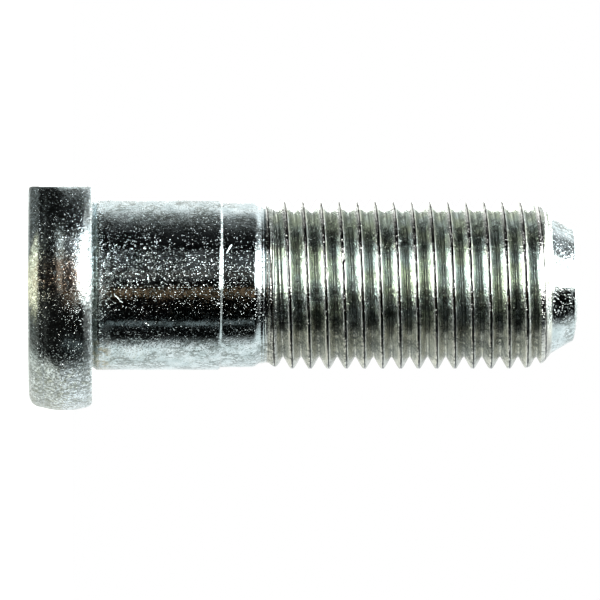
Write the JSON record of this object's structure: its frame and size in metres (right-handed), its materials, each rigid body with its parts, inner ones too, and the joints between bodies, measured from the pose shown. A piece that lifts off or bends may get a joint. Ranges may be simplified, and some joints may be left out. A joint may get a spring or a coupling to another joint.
{
  "type": "wheel stud",
  "caption": "Clipped-head wheel stud with a smooth stepped press-in shank, a long fine right-hand rolled thread and a tapered, domed lead-in point.",
  "frame": {"origin": "where the shank's axis meets the outer face of the head, on which the stud stands", "axes": "+Z along the axis towards the threaded end and its point; -X is the outward normal of the flat clipped off the head"},
  "size_m": [0.0186, 0.021, 0.0455],
  "materials": {
    "zinc_plated_steel": "bright zinc plating over forged and rolled steel, lightly pitted, with scuffs along the thread crests"
  },
  "bodies": {
    "root": {"wheel_stud": "zinc_plated_steel"}
  },
  "joints": []
}
